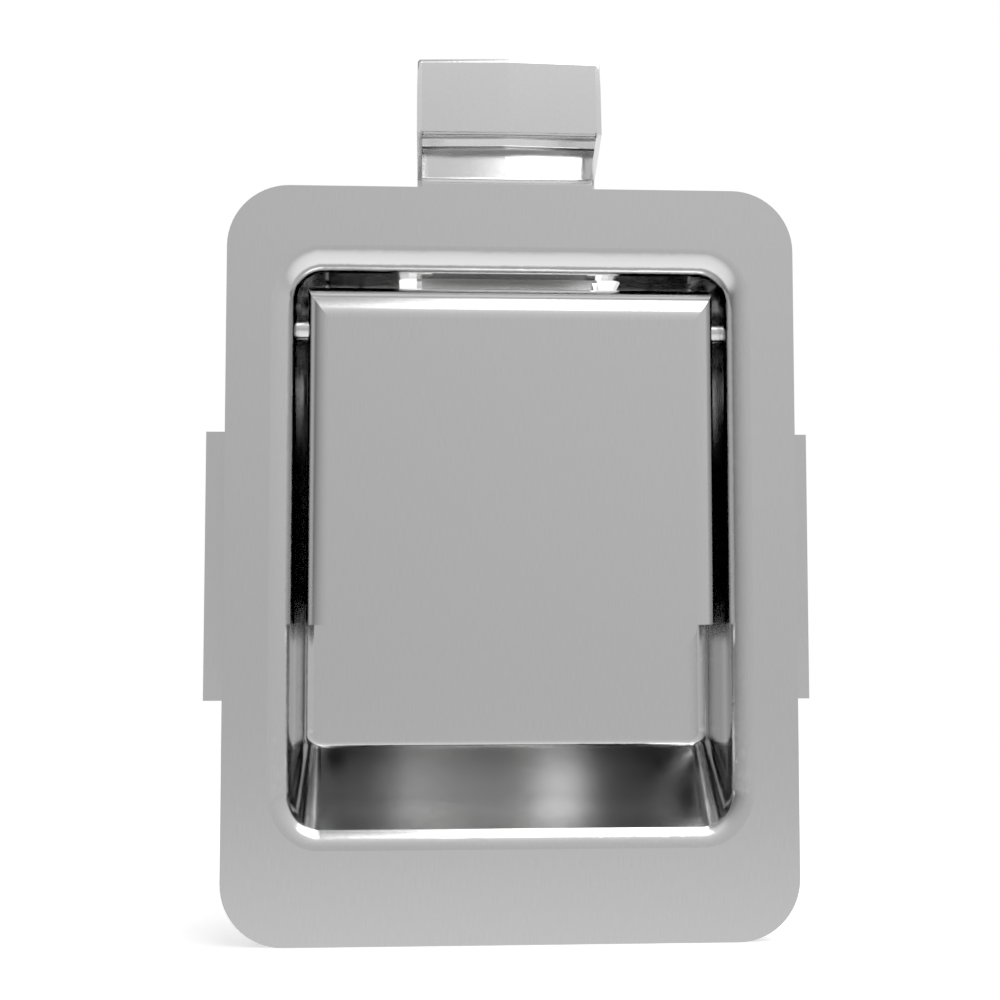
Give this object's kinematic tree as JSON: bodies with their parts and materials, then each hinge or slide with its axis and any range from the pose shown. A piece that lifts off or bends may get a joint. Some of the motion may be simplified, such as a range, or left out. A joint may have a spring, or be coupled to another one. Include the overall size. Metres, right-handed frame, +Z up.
{
  "type": "flush paddle latch",
  "caption": "Flush-mounted paddle latch: a hinged paddle in a pressed pan swings a sprung, hollow folded bolt; clamped to a panel from behind.",
  "frame": {"origin": "centre of the flange's outline, on the front face of the panel that the latch is clamped to", "axes": "+X to the right seen from the front, +Y into the panel, +Z up towards the bolt"},
  "size_m": [0.1164, 0.0355, 0.1688],
  "materials": {
    "polished_steel": "polished stainless steel",
    "bracket_steel": "satin stainless steel",
    "pin_steel": "ground and polished",
    "spring_steel": "drawn stainless wire",
    "fastener_steel": "plain stainless",
    "sleeve_brass": "turned",
    "gasket_rubber": "matt foam rubber",
    "buffer_rubber": "matt"
  },
  "bodies": {
    "pan_body": {"pan": "polished_steel", "gasket": "gasket_rubber", "paddle_buffers": "buffer_rubber", "pivot_pin": "pin_steel", "pin_washers": "fastener_steel", "pin_retaining_ring": "spring_steel", "spacer_sleeve_middle": "sleeve_brass", "spacer_sleeve_left": "sleeve_brass", "spacer_sleeve_right": "sleeve_brass", "paddle_spring_left": "spring_steel", "paddle_spring_right": "spring_steel", "clamp_bracket": "bracket_steel", "weld_studs": "fastener_steel", "stud_washers": "fastener_steel", "stud_nuts": "fastener_steel"},
    "paddle_body": {"paddle": "polished_steel", "bolt_spring": "spring_steel"},
    "bolt_body": {"bolt": "polished_steel"}
  },
  "joints": [
    {"name": "paddle_hinge", "type": "hinge", "parent": "pan_body", "child": "paddle_body", "pos_m": [0, 0.005, 0.04405], "axis": [-1, 0, 0], "range_deg": [0, 30], "stiffness_Nm_per_rad": 0.15, "springref_deg": -34.38, "deforming": ["paddle_spring_left", "paddle_spring_right"]},
    {"name": "bolt_hinge", "type": "hinge", "parent": "paddle_body", "child": "bolt_body", "pos_m": [0, 0.005, 0.04405], "axis": [-1, 0, 0], "range_deg": [0, 15], "stiffness_Nm_per_rad": 0.08, "springref_deg": -28.65, "deforming": ["bolt_spring"]}
  ]
}
